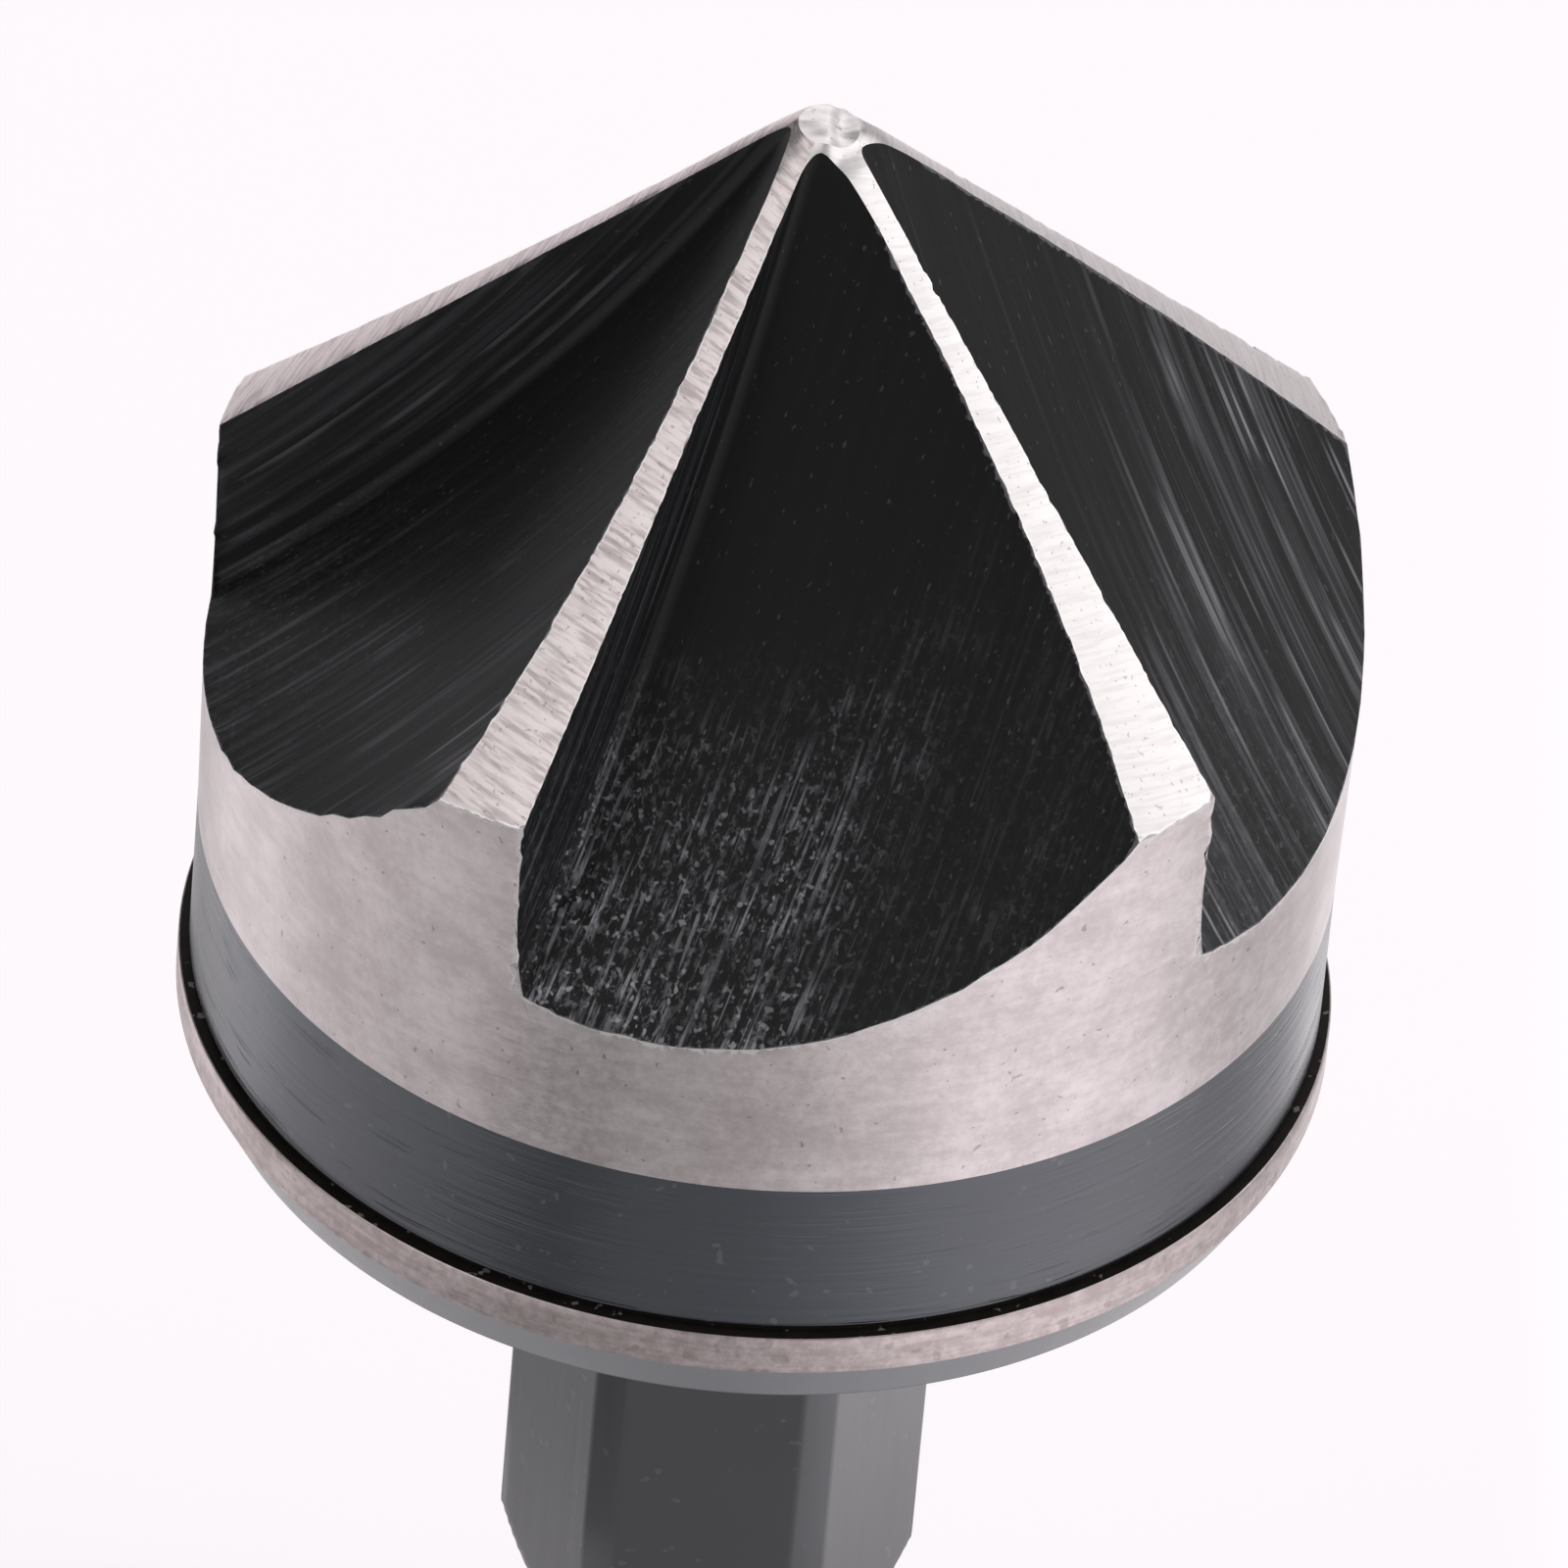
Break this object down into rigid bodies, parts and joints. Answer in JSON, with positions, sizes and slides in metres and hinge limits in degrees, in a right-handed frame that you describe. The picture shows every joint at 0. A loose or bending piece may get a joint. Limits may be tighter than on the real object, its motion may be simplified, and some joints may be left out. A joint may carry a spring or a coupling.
{
  "type": "countersink bit",
  "caption": "Steel countersink bit: a fluted cutting cone with ground lands over a short cylinder and a collar, on a hexagon quick-change shank.",
  "frame": {"origin": "centre of the flat tail end of the shank, on the axis of rotation", "axes": "+Z along the axis of rotation from the tail to the point; +X through a corner of the hexagon; +Y across two of its flats"},
  "size_m": [0.0192, 0.0192, 0.0437],
  "materials": {
    "tool_steel": "black oxide on turned and milled faces, ground bright on the lands, the head cylinder and the collar rim"
  },
  "bodies": {
    "root": {"countersink_bit": "tool_steel"}
  },
  "joints": []
}
